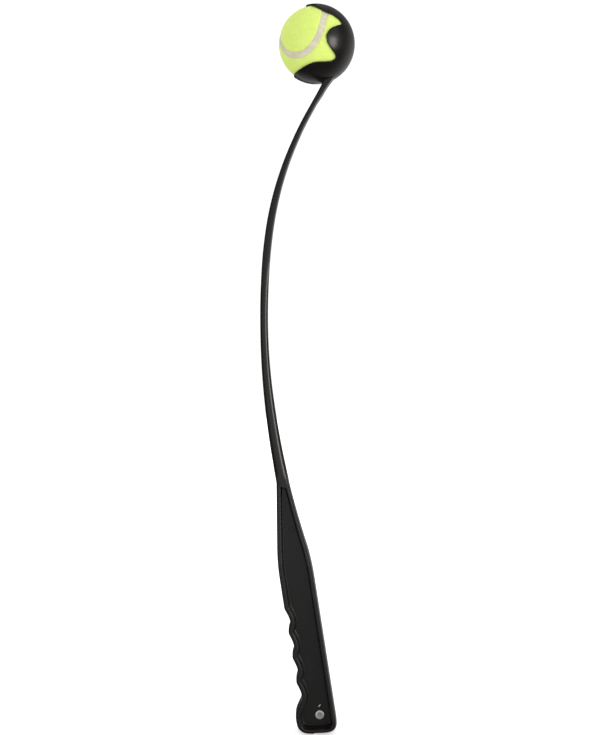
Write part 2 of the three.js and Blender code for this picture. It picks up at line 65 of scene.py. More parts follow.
def new_group(name, outputs):
    """A shader node group that takes a Vector and gives the named outputs."""
    group = bpy.data.node_groups.new(name, "ShaderNodeTree")
    group.interface.new_socket("Vector", in_out="INPUT", socket_type="NodeSocketVector")
    for label in outputs:
        group.interface.new_socket(label, in_out="OUTPUT", socket_type="NodeSocketFloat")
    source = group.nodes.new("NodeGroupInput")
    sink = group.nodes.new("NodeGroupOutput")
    return group, source.outputs["Vector"], sink.inputs


def joined(tree, kind, links=(), **settings):
    """A node of a kind, with plain settings, number settings for its sockets, and links into it."""
    node = tree.nodes.new(kind)
    for key, value in settings.items():
        if hasattr(node, key):
            setattr(node, key, value)
        else:
            node.inputs[key.replace("_", " ")].default_value = value
    for socket, output in links:
        tree.links.new(output, node.inputs[socket])
    return node


def mapped(tree, vector, scale, turn=(0, 0, 0), place=(0, 0, 0)):
    """The vector after a Mapping node that turns, stretches and moves it."""
    node = joined(tree, "ShaderNodeMapping", [("Vector", vector)])
    node.inputs["Scale"].default_value = scale
    node.inputs["Rotation"].default_value = turn
    node.inputs["Location"].default_value = place
    return node.outputs["Vector"]


def noise(tree, vector, scale, detail=2.0, **more):
    """Noise at a scale, with a number of finer layers in it, as a value."""
    node = joined(tree, "ShaderNodeTexNoise", [("Vector", vector)], Scale=scale, Detail=detail, **more)
    return node.outputs["Fac"]


def ranged(tree, value, low, high, to_low, to_high):
    """The value stretched from one range to another and held inside it."""
    node = joined(tree, "ShaderNodeMapRange", [("Value", value)])
    for socket, number in zip(("From Min", "From Max", "To Min", "To Max"), (low, high, to_low, to_high)):
        node.inputs[socket].default_value = number
    return node.outputs["Result"]


def combined(tree, first, second, operation="ADD"):
    """Two values added, or joined by another operation."""
    node = tree.nodes.new("ShaderNodeMath")
    node.operation = operation
    tree.links.new(first, node.inputs[0])
    if isinstance(second, (int, float)):
        node.inputs[1].default_value = second
    else:
        tree.links.new(second, node.inputs[1])
    return node.outputs[0]


def product(tree, first, second):
    """Two values multiplied."""
    return combined(tree, first, second, "MULTIPLY")


def mixed(tree, factor, first, second, data_type="RGBA"):
    """Two colours or values, each plain or from another node, mixed by a factor."""
    node = joined(tree, "ShaderNodeMix", [("Factor", factor)], data_type=data_type)
    for socket, part in (("A", first), ("B", second)):
        if isinstance(part, (tuple, float)):
            node.inputs[socket].default_value = part
        else:
            tree.links.new(part, node.inputs[socket])
    return node.outputs["Result"]


def scratch_group():
    """Hair scratches: thin lines where two stretched noises pass through their middle value."""
    group, vector, result = new_group("hair_scratches", ["Mask"])
    total = None
    for turn, scale in (((0.3, 0.5, 0.2), 260), ((1.1, -0.4, 0.9), 330)):
        stretched = mapped(group, vector, (scale, scale, scale * 0.05), turn)
        middle = combined(group, noise(group, stretched, 1.0, 1.0), 0.5, "SUBTRACT")
        size = joined(group, "ShaderNodeMath", [(0, middle)], operation="ABSOLUTE")
        line = ranged(group, size.outputs[0], 0.0, 0.006, 1.0, 0.0)
        total = line if total is None else combined(group, total, line, "MAXIMUM")
    places = ranged(group, noise(group, vector, 45.0), 0.5, 0.68, 0.0, 1.0)
    group.links.new(product(group, total, places), result["Mask"])
    return group


def dust_group():
    """Dust: small round specks in a few of a fine grid of random cells."""
    group, vector, result = new_group("dust_specks", ["Mask"])
    cells = joined(group, "ShaderNodeTexVoronoi", [("Vector", vector)], Scale=420.0)
    speck = ranged(group, cells.outputs["Distance"], 0.05, 0.16, 1.0, 0.0)
    split = joined(group, "ShaderNodeSeparateColor", [("Color", cells.outputs["Color"])])
    chosen = ranged(group, split.outputs["Red"], 0.93, 0.97, 0.0, 1.0)
    group.links.new(product(group, speck, chosen), result["Mask"])
    return group


def new_material(name, **constants):
    """A material whose Principled shader has these constants, with Object coordinates ready to use."""
    material = bpy.data.materials.new(name)
    material.use_nodes = True
    tree = material.node_tree
    shader = tree.nodes["Principled BSDF"]
    for key, value in constants.items():
        shader.inputs[key.replace("_", " ")].default_value = value
    place = tree.nodes.new("ShaderNodeTexCoord").outputs["Object"]
    return material, tree, shader, place


def placed_group(tree, group, vector):
    """A group used in a material and fed with a vector. It gives the group's mask."""
    node = tree.nodes.new("ShaderNodeGroup")
    node.node_tree = group
    tree.links.new(vector, node.inputs["Vector"])
    return node.outputs["Mask"]


def bumped(tree, shader, layers):
    """Bump nodes in a row: each layer is a height, its distance in metres and its strength."""
    normal = None
    for height, distance, strength in layers:
        links = [("Height", height)] + ([("Normal", normal)] if normal else [])
        bump = joined(tree, "ShaderNodeBump", links, Strength=strength, Distance=distance)
        normal = bump.outputs["Normal"]
    tree.links.new(normal, shader.inputs["Normal"])


scratches = scratch_group()
dust = dust_group()


def black_plastic_material():
    """Black plastic: fine tool grain, faint flow, scratches that are duller and paler, and dust."""
    material, tree, shader, place = new_material("black_plastic", IOR=1.5, Specular_IOR_Level=0.5)
    grain, smudge = noise(tree, place, 2600.0), noise(tree, place, 28.0, 4.0)
    flow = noise(tree, mapped(tree, place, (60, 60, 9)), 1.0)
    lines, specks = placed_group(tree, scratches, place), placed_group(tree, dust, place)
    worn = mixed(tree, product(tree, lines, 0.35), mixed(tree, flow, *plastic_colours), scratch_colour)
    dusty = mixed(tree, product(tree, specks, 0.5), worn, dust_colour)
    tree.links.new(dusty, shader.inputs["Base Color"])
    rough = combined(tree, ranged(tree, smudge, 0.3, 0.7, 0.2, 0.28), product(tree, lines, 0.12))
    tree.links.new(rough, shader.inputs["Roughness"])
    bumped(tree, shader, [(grain, 0.00003, 0.35), (lines, 0.00004, 0.25)])
    return material


black_plastic = black_plastic_material()

# Handle, shaft and neck
# One injection moulding: a grip with four finger grooves, a thin web sunk between raised rims on both
# faces, and a flat-oval blade that bows forward and runs thin into the cup. A fine parting line goes
# all round it in the mid-plane, where the two halves of the tool meet.

# The grip's outline, by distances across and down its tilted axis.
grip_tilt = np.radians(8.9)
ridge, groove, groove_pitch, first_groove = -15.0, -12.2, 21.7, -37.6
finger_flat, palm_flat, palm_hollow = -15.45, 14.85, 1.2
shoulder_height, butt_height, butt_bulge, bulge_rise = 86.5, -60.6, 5.3, 14.4
butt_lowest = (-62.2, -8.4)
shoulder_round, finger_round, palm_round = 14, 8, 11

# The grip's section: its depth, the width of the rims, and how the sides lean in and are bevelled.
handle_half_depth, web_half_depth = 13.0, 2.0
rim_top, rim_low = 3.8, 4.3
finger_lean, palm_lean, butt_lean = 0.3, 1.2, 0.4
finger_bevel, palm_bevel, butt_bevel = 0.8, 0.75, 0.3
recess_top, blade_from, blade_full = (151.4, 152.9), 153.5, 172

# The blade, from its foot on the handle to the neck. Places between them are shares of its length.
blade_foot, blade_bow = np.array([-24.3, 156.5]), 34.0
foot_thick, waist_thick, neck_thick = 11.6, 6.7, 3.9
foot_deep, waist_deep, neck_deep = 15.0, 13.0, 12.0
waist_from, waist_to = 0.41, 0.55
oval_to, square_from, last_lean = 300, 375, 0.06
crown_low, crown_high, edge_low, edge_high = 62, 9, 0.35, 0.75
neck_flare, flare_rows, normal_reach = 0.85, 6.0, 2.4

# The neck, from the blade's end into the wall of the cup.
ball_centre = np.array([4.8, 0.0, 541.8])
cup_radius, half_wall = 34.2, 0.7
neck_angle, neck_place, neck_length = np.radians(61), np.radians(6.4), 7.3
neck_way = np.array([np.cos(neck_angle), 0.0, np.sin(neck_angle)])
neck_from_ball = np.array([np.sin(neck_place), 0.0, -np.cos(neck_place)])
neck_foot = ball_centre + (cup_radius + neck_length) * neck_from_ball

ejector_place, ejector_radius = (-16.2, -web_half_depth, 115.0), 2.7
mirrored = np.array([1, -1, 1])


def grip_point(down, across):
    """A point by its distance down the grip's axis and across it, both turned by the grip's tilt."""
    x = across * np.cos(grip_tilt) + down * np.sin(grip_tilt)
    z = across * np.sin(grip_tilt) - down * np.cos(grip_tilt)
    return np.stack([x, z], -1)


def grip_point_at(height, across):
    """A point by its height and its distance across the grip's axis."""
    return np.array([(across - height * np.sin(grip_tilt)) / np.cos(grip_tilt), height])


def towards(start, end, distance):
    """The point at a distance from start on the line to end."""
    return start + (end - start) * distance / np.linalg.norm(end - start)


def bent(start, corner, end, steps=40, to=1.0):
    """A parabola from start to end that leaves and arrives along the lines to corner.

    Its points are (1 - t) squared times start, 2 t (1 - t) times corner and t squared times end, summed.
    """
    t = np.linspace(0, to, steps)[:, None]
    return (1 - t) ** 2 * start + 2 * t * (1 - t) * corner + t**2 * end


def finger_line():
    """The finger edge, from under the shoulder through each groove and ridge and out to the bulge.

    Between two knots it crosses over by (1 - cos(pi s)) / 2, where s is the share of the way down. On
    the way into a groove s is raised to a power below 1, which makes that side steeper.
    """
    grooves, lead_in, ridge_share, steep = 4, 13, 0.41, 0.7
    knots = [(first_groove - lead_in, finger_flat)]
    for i in range(grooves):
        knots.append((first_groove + i * groove_pitch, groove))
        if i < grooves - 1:
            knots.append((first_groove + (i + ridge_share) * groove_pitch, ridge))
    knots.append((-butt_height - bulge_rise, ridge - butt_bulge))
    share, parts = np.linspace(0, 1, 40)[1:], [np.array([knots[0]])]
    for (down_a, across_a), (down_b, across_b) in zip(knots, knots[1:]):
        ease = (1 - np.cos(np.pi * share ** (steep if across_b == groove else 1.0))) / 2
        down, across = down_a + share * (down_b - down_a), across_a + ease * (across_b - across_a)
        parts.append(np.stack([down, across], -1))
    line = np.concatenate(parts)
    return grip_point(line[:, 0], line[:, 1])


def handle_edges():
    """The finger edge and the palm edge, from the handle's top down and round to the butt's middle.

    Each runs straight from corner to corner, with a parabola round each that starts and ends at a set
    distance from the corner. The palm's upper run is a parabola too, hollow by half of palm_hollow.
    """
    half_top = np.array([foot_thick / 2, 0.0])
    finger_top, palm_top = blade_foot - half_top, blade_foot + half_top
    fingers = finger_line()
    finger_shoulder = grip_point_at(shoulder_height, finger_flat)
    palm_shoulder = grip_point_at(shoulder_height, palm_flat)
    finger_corner = grip_point_at(butt_height, ridge - butt_bulge)
    palm_corner = grip_point_at(butt_height, palm_flat)
    low = grip_point_at(*butt_lowest)
    corner_out = towards(finger_corner, low, finger_round)
    palm_in = towards(palm_corner, low, palm_round)
    shoulder_in = towards(finger_shoulder, finger_top, shoulder_round)
    finger_side = [
        finger_top[None],
        bent(shoulder_in, finger_shoulder, towards(finger_shoulder, fingers[0], shoulder_round)),
        fingers,
        bent(towards(finger_corner, fingers[-1], finger_round), finger_corner, corner_out),
        bent(corner_out, low, palm_in, to=0.5)[1:],
    ]
    shoulder_out = towards(palm_shoulder, palm_top, shoulder_round)
    hollow = (shoulder_out + palm_top) / 2 - np.array([palm_hollow, 0.0])
    palm_side = [
        bent(palm_top, hollow, shoulder_out),
        bent(shoulder_out, palm_shoulder, towards(palm_shoulder, palm_corner, shoulder_round))[1:],
        bent(towards(palm_corner, palm_shoulder, palm_round), palm_corner, palm_in),
        bent(palm_in, low, corner_out, to=0.5)[1:],
    ]
    return np.concatenate(finger_side), np.concatenate(palm_side)


def run_along(line):
    """The length of a line up to each of its points."""
    return np.concatenate([[0], np.cumsum(np.linalg.norm(np.diff(line, axis=0), axis=1))])


def along(line, shares):
    """Points of a line at these shares of its length."""
    length = run_along(line)
    places = np.asarray(shares) * length[-1]
    return np.stack([np.interp(places, length, column) for column in line.T], -1)


def eased(value, low, high, start=0.0, end=1.0):
    """A smooth change from start at low to end at high: the share s between them goes by s s (3 - 2 s)."""
    share = np.clip((value - low) / (high - low), 0, 1)
    return start + (end - start) * (share * share * (3 - 2 * share))


def through(points, steps):
    """A smooth curve through points, made of one cubic piece between each two of them.

    A point's slope is taken from its neighbours, with each gap counted as the root of its length. The
    piece from p1 to p2 weights both points and both slopes by the usual cubics of t.
    """
    points = np.asarray(points, float)
    ends = np.concatenate([[2 * points[0] - points[1]], points, [2 * points[-1] - points[-2]]])
    gap = np.sqrt(np.linalg.norm(np.diff(ends, axis=0), axis=1))[:, None]
    t = np.linspace(0, 1, steps, endpoint=False)[:, None]
    parts = []
    for i in range(len(points) - 1):
        p0, p1, p2, p3 = ends[i : i + 4]
        g0, g1, g2 = gap[i : i + 3]
        slope_in = ((p1 - p0) / g0 - (p2 - p0) / (g0 + g1) + (p2 - p1) / g1) * g1
        slope_out = ((p2 - p1) / g1 - (p3 - p1) / (g1 + g2) + (p3 - p2) / g2) * g1
        parts.append(
            (2 * t**3 - 3 * t**2 + 1) * p1
            + (t**3 - 2 * t**2 + t) * slope_in
            + (3 * t**2 - 2 * t**3) * p2
            + (t**3 - t**2) * slope_out
        )
    return np.concatenate([*parts, points[-1:]])


def shaft_stations(count):
    """The blade's stations from the neck down: centre, unit way down, thickness and depth.

    The centre line is the chord from the foot to the neck, moved towards -X by shares of the bow. The
    thickness and the depth ease from the foot to the waist, and from there to the neck.
    """
    bows = [0, 0.29, 0.54, 0.74, 0.88, 0.965, 0.995, 0.94, 0.76, 0.445, 0]
    share = np.linspace(0, 1, len(bows))[:, None]
    chord = blade_foot + share * (neck_foot[[0, 2]] - blade_foot)
    up = np.linspace(0, 1, count)
    centre = along(through(chord - np.array([blade_bow, 0.0]) * np.array(bows)[:, None], 30), up)
    way = np.gradient(centre, axis=0)
    way /= np.linalg.norm(way, axis=1)[:, None]
    way[0], way[-1] = (0, 1), neck_way[[0, 2]]
    thin = eased(up, -0.12, waist_from, foot_thick, waist_thick)
    thick = eased(up, waist_to, 1, thin, neck_thick) + (foot_thick - thin[0]) * eased(up, 0, 0.06, 1, 0)
    deep = eased(up, waist_to, 1, eased(up, 0, waist_from, foot_deep, waist_deep), neck_deep)
    return centre[::-1], -way[::-1], thick[::-1], deep[::-1]


def soft_normals(line, reach):
    """Unit normals to the left of a line, averaged along it so that inner copies of it don't fold.

    The line is sampled evenly, and each normal is a mean with bell-shaped weights as wide as reach.
    """
    length, spacing = run_along(line), 0.25
    even = np.arange(0, length[-1], spacing)
    fine = np.stack([np.interp(even, length, column) for column in line.T], -1)
    way = np.gradient(fine, axis=0)
    normal = np.stack([-way[:, 1], way[:, 0]], -1)
    normal /= np.linalg.norm(normal, axis=1)[:, None]
    pad = round(4 * reach / spacing)
    weight = np.exp(-((np.arange(-pad, pad + 1) * spacing / reach) ** 2) / 2)
    padded = np.pad(normal, ((pad, pad), (0, 0)), mode="edge")
    soft = np.stack([np.convolve(column, weight / weight.sum(), mode="valid") for column in padded.T], -1)
    soft = np.stack([np.interp(length, even, column) for column in soft.T], -1)
    return soft / np.linalg.norm(soft, axis=1)[:, None]


def rim_profile(half_depth, rim, sink, lean, bevel):
    """One side of the handle's section, from the mid-plane edge in to the web, as inset and depth.

    The side stands square behind the parting line's flash, then leans in by lean over its last 5 mm along
    a power curve. Then come a slanting bevel, a small round, a crowned crest, a round inner edge, the
    recess wall with its draft, and a round into the web. sink is 0 where there is no recess.
    """
    flash, fillet, fillet_rise, crown = 0.1, 0.35, 0.09, 0.06
    edge, draft, web_round = 0.7, 0.7, 0.8
    one = np.ones_like(half_depth)
    bevel, lean = bevel * one, lean * one
    start, shoulder = half_depth - 5, half_depth - bevel - 0.15
    out = flash * one
    columns = [(0 * one, 0 * one), (out, 0.22 * one), (out, 0.5 * start), (out, start)]
    for share in (0.25, 0.5, 0.75, 0.92):
        columns.append((flash + lean * share**1.7, start + share * (shoulder - start)))
    for share in (0.08, 0.5, 0.92):
        columns.append((flash + lean + bevel * share, shoulder + bevel * share))
    for share in (0.3, 0.6, 0.85, 1.0):
        rise = fillet_rise * (1 - (1 - share) ** 2)
        columns.append((flash + lean + bevel + fillet * share, shoulder + bevel + rise))
    outer, wall_top = flash + lean + bevel + fillet, crown + edge
    face = rim - edge - outer
    for share in (0.15, 0.4, 0.6, 0.85, 1.0):
        columns.append((outer + share * face, half_depth - crown * (2 * share - 1) ** 2 * sink))
    for angle in np.radians([20, 40, 60, 80]):
        drop = crown + edge * (1 - np.cos(angle))
        columns.append((rim - edge * (1 - np.sin(angle)), half_depth - sink * drop))
    for share in (0.1, 0.5, 0.9):
        drop = wall_top + share * (half_depth - wall_top - web_half_depth - web_round)
        columns.append((rim + draft * share, half_depth - sink * drop))
    for angle in np.radians([0, 30, 60, 90]):
        depth = web_half_depth + web_round * (1 - np.sin(angle))
        inset = rim + draft + web_round * (1 - np.cos(angle))
        columns.append((inset, half_depth - sink * (half_depth - depth)))
    insets, depths = zip(*columns)
    return np.stack(insets, -1), np.stack(depths, -1)


def blade_profile(thick, deep, radius, crown):
    """The same columns on the blade: a square side, an edge of a radius, and a face crowned to an angle.

    The face is an arc that leans by the crown angle where it meets the edge: half width over its sine is
    the arc's radius.
    """
    half, columns = thick / 2, []
    arc = (half - radius * (1 - np.sin(crown))) / np.sin(crown)
    foot = deep / 2 - arc * (1 - np.cos(crown)) - radius * np.cos(crown)
    for share in (0, 0.04, 0.2, 0.4, 0.6, 0.8, 1.0):
        columns.append((0 * half, share * foot))
    for share in (0.15, 0.3, 0.45, 0.6, 0.75, 0.9):
        lean = np.pi / 2 + share * (crown - np.pi / 2)
        columns.append((radius * (1 - np.sin(lean)), foot + radius * np.cos(lean)))
    for share in np.linspace(1, last_lean, 18):
        lean = share * crown
        columns.append((half - arc * np.sin(lean), deep / 2 - arc * (1 - np.cos(lean))))
    insets, depths = zip(*columns)
    return np.stack(insets, -1), np.stack(depths, -1)


def half_depth_at(height):
    """Half the handle's depth: full up to the shoulder, and a straight taper from there to its top."""
    taper = np.clip((height - shoulder_height) / (blade_foot[1] - shoulder_height), 0, 1)
    return handle_half_depth + (foot_deep / 2 - handle_half_depth) * taper


def stick_grid():
    """Rings of points from the neck down to the butt, each over the near face and back over the far one.

    A ring is the left edge's profile, the web, and the right edge's profile, with the same mirrored for
    the far face. From the handle's top upwards the rim's profile blends into the blade's.
    """
    centre, way, thick, deep = shaft_stations(170)
    across = np.stack([-way[:, 1], way[:, 0]], -1)
    fingers, palm = handle_edges()
    shares = np.unique(np.concatenate([np.linspace(0, 1, 330)[1:], np.linspace(0.012, 0.030, 26)]))
    flare = neck_flare * eased(np.arange(len(centre)), 0.0, flare_rows, 1, 0)
    left = np.concatenate([centre - across * thick[:, None] / 2, along(fingers, shares)])
    right = np.concatenate([centre + across * (thick / 2 + flare)[:, None], along(palm, shares)])
    normals = soft_normals(np.concatenate([left, right[::-1]]), normal_reach)
    left_normal, right_normal = normals[: len(left)], normals[len(left) :][::-1]
    handle_rows = len(left) - len(centre)
    all_thick = np.concatenate([thick, np.full(handle_rows, foot_thick)])
    all_deep = np.concatenate([deep, np.full(handle_rows, foot_deep)])
    tall = (left[:, 1] + right[:, 1]) / 2
    rim = eased(-tall, -150, -70, rim_top, rim_low)
    sink = eased(tall, *recess_top, 1, 0)
    blend = eased(-tall, -blade_full, -blade_from)[:, None]
    crown = np.radians(eased(tall, oval_to, square_from, crown_low, crown_high))
    radius = eased(tall, oval_to, square_from, edge_low, edge_high)
    halves = []
    sides = (left, left_normal, finger_lean, finger_bevel), (right, right_normal, palm_lean, palm_bevel)
    for edge, normal, lean, bevel in sides:
        butt = eased(-edge[:, 1], 48, 60)
        half_depth = half_depth_at(edge[:, 1])
        lean, bevel = lean + butt_lean * butt, bevel + butt_bevel * butt
        inset, depth = rim_profile(half_depth, rim, sink, lean, bevel)
        blade_inset, blade_depth = blade_profile(all_thick, all_deep, radius, crown)
        inset = blade_inset + (inset - blade_inset) * blend
        depth = blade_depth + (depth - blade_depth) * blend
        flat = edge[:, None] + normal[:, None] * inset[..., None]
        halves.append(np.stack([flat[..., 0], -depth, flat[..., 1]], -1))
    near_left, near_right = halves
    fill = np.array([0.03, 0.15, 0.32, 0.5, 0.68, 0.85, 0.97])[:, None]
    web = near_left[:, -1:] + fill * (near_right[:, -1:] - near_left[:, -1:])
    bulge = (1 - blend[:, 0]) * (all_thick / 2) / np.sin(crown) * (1 - np.cos(last_lean * crown))
    web[..., 1] -= bulge[:, None] * np.sin(np.pi * fill[:, 0])
    near = np.concatenate([near_left, web, near_right[:, ::-1]], 1)
    return np.concatenate([near, near[:, -2:0:-1] * mirrored], 1)


def neck_grid(ring):
    """Rings that carry the blade's end on into the cup's wall, with a closed end.

    Each point of the last ring runs along the neck's way until it is inside the wall. With g as the run
    over the neck's length, the width grows by 0.1 g + k g g, where k is larger on the ball's side, and
    the depth by 0.5 g g.
    """
    side = np.array([neck_way[2], 0.0, -neck_way[0]])
    out, deep = (ring - neck_foot) @ side, ring[:, 1]
    reach = np.linspace(0, 22, 400)
    grow = reach / neck_length
    swelling = np.where(out > 0, 0.4, 1.05)
    width = (neck_thick + 0.1 * grow[:, None] + swelling * grow[:, None] ** 2) / neck_thick
    depth = (neck_deep + 0.5 * grow**2) / neck_deep
    lines = (
        neck_foot
        + reach[:, None, None] * neck_way
        + (width * out)[..., None] * side
        + (depth[:, None] * deep)[..., None] * np.array([0.0, 1.0, 0.0])
    )
    inside = np.linalg.norm(lines - ball_centre, axis=-1) < cup_radius - half_wall
    stop = np.where(inside.any(0), inside.argmax(0), len(reach) - 1)
    shares = np.linspace(1, 0, 19)[:-1]
    index = np.round(shares[:, None] * stop).astype(int)
    rings = lines[index, np.arange(len(ring))]
    cap = rings[0].mean(0) + np.array([0.0, 0.4, 0.75])[:, None, None] * (rings[0] - rings[0].mean(0))
    aim = cap - ball_centre
    cap = ball_centre + aim / np.linalg.norm(aim, axis=-1)[..., None] * (cup_radius - half_wall)
    return np.concatenate([cap, rings])


def quads(rows, columns, wrap):
    """Four-cornered faces that join a grid's points along and between its rows. wrap closes each row."""
    row, column = np.meshgrid(np.arange(rows - 1), np.arange(columns if wrap else columns - 1), indexing="ij")
    here, after = row * columns + column, row * columns + (column + 1) % columns
    return np.stack([here, here + columns, after + columns, after], -1).reshape(-1, 4)


def add_piece(name, parts, body, material, replaced=()):
    """A piece of the object from parts, each points in millimetres with its faces, closed and facing out."""
    points, faces, count = [], [], 0
    for part_points, part_faces in parts:
        points.append(part_points.reshape(-1, 3) * 0.001)
        faces.append(part_faces + count)
        count += len(points[-1])
    mesh = bpy.data.meshes.new(name)
    mesh.from_pydata(np.concatenate(points).tolist(), [], [f for part in faces for f in part.tolist()])
    shape = bmesh.new()
    shape.from_mesh(mesh)
    bmesh.ops.remove_doubles(shape, verts=shape.verts, dist=1e-6)
    bmesh.ops.recalc_face_normals(shape, faces=shape.faces)
    shape.to_mesh(mesh)
    shape.free()
    mesh.shade_smooth()
    mesh.materials.append(material)
    piece = bpy.data.objects.new(name, mesh)
    bpy.context.scene.collection.objects.link(piece)
    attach(piece, body)
    if replaced:
        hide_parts(*replaced)
    return piece


def turned(profile, centre, segments):
    """A shape turned about a line along Y: each profile point, a radius and a depth, goes round a circle."""
    profile = np.asarray(profile, float)
    angle = np.linspace(0, 2 * np.pi, segments, endpoint=False)
    x, z = centre[0] + profile[:, :1] * np.cos(angle), centre[2] + profile[:, :1] * np.sin(angle)
    points = np.stack([x, centre[1] + profile[:, 1:] + 0 * angle, z], -1)
    return points, quads(len(profile), segments, True)


def stick_parts():
    """The stick's skin, and the ring that an ejector pin left on the near web, an ellipse turned round."""
    grid = stick_grid()
    grid = np.concatenate([neck_grid(grid[0]), grid])
    angle = np.radians(np.arange(0, 360, 45))
    ring = np.stack([ejector_radius + 0.2 * np.cos(angle), 0.12 * np.sin(angle)], -1)
    mark = turned(np.concatenate([ring, ring[:1]]), ejector_place, 48)
    return [(grid, quads(grid.shape[0], grid.shape[1], True)), mark]


add_piece("launcher_stick", stick_parts(), "launcher", black_plastic, ("handle", "shaft"))

# Gate pip
# The plastic was shot in through a gate in the handle's near web. Its runner was twisted off there, and
# left a small torn pip, paler than the plastic round it: partly stress-whitened, partly a painted glint.

pip_long, pip_wide, pip_place = 1.5, 0.44, np.array([7.9, -web_half_depth, -39.45])
pip_profile = [(0, 0.3), (1, 0.3), (1, -0.1), (0.8, -0.4), (0.4, -0.62), (0, -0.7)]
# Pale colours: partly stress-whitened torn plastic, partly a painted glint.
torn_and_glint_colours = (0.6, 0.59, 0.57, 1), (0.92, 0.91, 0.9, 1)


def gate_material():
    """Torn plastic: stretched pale where the runner was twisted off, and paler still as a painted glint, with
    a rough broken top.
    """
    material, tree, shader, place = new_material("torn_plastic_glint", Roughness=0.45)
    tear = noise(tree, place, 2200.0, 3.0)
    tree.links.new(mixed(tree, tear, *torn_and_glint_colours), shader.inputs["Base Color"])
    bumped(tree, shader, [(tear, 0.0002, 0.6)])
    return material


def gate_parts():
    """The pip: a turned dome of radius 1, stretched to its length and width along slanting lines."""
    dome, faces = turned(pip_profile, (0, 0, 0), 24)
    long_way, wide_way = np.array([0.707, 0, 0.707]), np.array([-0.707, 0, 0.707])
    flat = dome[..., :1] * pip_long * long_way + dome[..., 2:] * pip_wide * wide_way
    return [(flat + dome[..., 1:2] * np.array([0, 1, 0]) + pip_place, faces)]


add_piece("gate_pip", gate_parts(), "launcher", gate_material())

# Cup
# The bowl behind the ball is part of the same moulding. Two wide claws above and below hook past the
# ball's widest circle and hold it, and a narrow finger steadies it on each side. The lip is rounded.

mouth_rise = np.radians(9.8)
lip_round = [0, 12, 24, 34, 42, 47.5, 49.7, 50.6, 52, 56, 62, 70, 80, 90]
lip_away = [64.5, 66, 71, 77.5, 85, 94, 104, 115, 122, 126, 124, 117, 108.5, 105]


def rim_line(columns):
    """The lip as angles round the mouth and away from its axis: a quarter's curve, mirrored to all four."""
    quarter = through(np.stack([lip_round, lip_away], -1), 24)
    line = along(quarter, np.linspace(0, 1, columns // 4 + 1))
    back = np.stack([180 - line[::-1, 0], line[::-1, 1]], -1)
    half = np.concatenate([line[:-1], back[:-1]])
    return np.radians(np.concatenate([half, half + np.array([180, 0])])).T


def mouth_point(radius, round_angle, away):
    """A point by its distance from the ball's centre, its angle round the mouth's axis and away from it."""
    sine, cosine = np.sin(mouth_rise), np.cos(mouth_rise)
    frame_axes = np.array([[sine, 0, cosine], [0, 1, 0], [-cosine, 0, sine]])
    x, y = np.sin(away) * np.cos(round_angle), np.sin(away) * np.sin(round_angle)
    return np.stack([x, y, np.cos(away)], -1) @ frame_axes * np.asarray(radius)[..., None]


def unit(directions):
    """Directions divided by their lengths."""
    return directions / np.linalg.norm(directions, axis=-1)[..., None]


def cup_grid(columns=264, rows=46):
    """Rings from the bowl's outer middle to the lip, round it, and back down the inside to the middle.

    A ring of the bowl lies a share of the angle from its middle to the lip. The lip is a superellipse
    across the wall: out by the root of the sine, and through the wall by the root of the cosine.
    """
    round_angle, away = rim_line(columns)
    rim, pole = mouth_point(1.0, round_angle, away), mouth_point(1.0, 0.0, np.pi)
    inward = unit(np.cross(unit(np.roll(rim, -1, 0) - np.roll(rim, 1, 0)), rim))
    if np.mean(inward @ pole) < 0:
        inward = -inward
    for _ in range(6):
        inward = (np.roll(inward, 1, 0) + inward * 2 + np.roll(inward, -1, 0)) / 4
    inward = unit(inward)
    middle = cup_radius - half_wall
    step = half_wall / middle
    border = rim * np.cos(step) + inward * np.sin(step)
    local = np.arccos(np.clip(-(border @ pole), -1, 1))
    spot = mouth_point(1.0, round_angle, local)
    even = np.linspace(0, 2 * np.pi, columns, endpoint=False)
    rings = []
    for share in (np.arange(rows) / rows) ** 0.9:
        ring = mouth_point(1.0, even + share**2 * (round_angle - even), np.pi + share * (local - np.pi))
        rings.append(unit(ring + eased(share, 0.3, 1.0) * (border - spot)))
    body = np.stack([*rings, border])
    lip = []
    for angle in np.radians([0, 8, 18, 30, 45, 60, 75, 90, 105, 120, 135, 150, 162, 172, 180]):
        out = step * np.sin(angle) ** 0.5
        height = middle + half_wall * np.sign(np.cos(angle)) * np.abs(np.cos(angle)) ** 0.5
        lip.append(unit(border * np.cos(out) - inward * np.sin(out)) * height)
    outer, inner = body * (middle + half_wall), body[::-1] * (middle - half_wall)
    return np.concatenate([outer[:-1], lip, inner[1:]]) + ball_centre


cup = cup_grid()
cup_parts = [(cup, quads(cup.shape[0], cup.shape[1], True))]
cup_nodes = ("cup", "top_claw", "bottom_claw")
add_piece("launcher_cup", cup_parts, "launcher", black_plastic, cup_nodes)

# Rivet and washer
# A pressed metal rivet through the butt's web. Its head is a shallow dish whose crest is paler, partly from
# wear and partly as a painted highlight, round a middle painted darker as shade, and on the far side its
# tail is set over a washer.

rivet_centre = (8.15, 0.0, -47.3)
rivet_profile = [(0, -3.28), (1.2, -3.28), (2.1, -3.29), (2.35, -3.34), (2.55, -3.4), (2.8, -3.38)]
rivet_profile += [(3.1, -3.3), (3.4, -3.2), (3.65, -3.11), (3.8, -3.03), (3.88, -2.9), (3.9, -2.6)]
rivet_profile += [(3.85, -2.45), (3.6, -2.3), (2.4, -2.3), (2.4, 3.35), (3.1, 3.4), (3.3, 3.6)]
rivet_profile += [(3.28, 3.85), (3.0, 4.1), (2.6, 4.25), (2.1, 4.2), (1.7, 3.95), (1.4, 3.8), (0, 3.78)]
washer_profile = [(2.7, 2.4), (2.7, 3.0), (2.8, 3.1), (4.55, 3.1), (4.68, 3.02), (4.7, 2.9), (4.7, 2.4)]
washer_profile += [(4.6, 2.3), (2.8, 2.3), (2.7, 2.4)]
# The dish's darker colour is painted shade; the crest's paler colour is partly wear, partly a painted
# highlight.
dish_shade_colour, crest_wear_and_highlight_colour = (0.52, 0.51, 0.5, 1), (0.93, 0.93, 0.92, 1)
dish_edge = (0.0024, 0.0029)


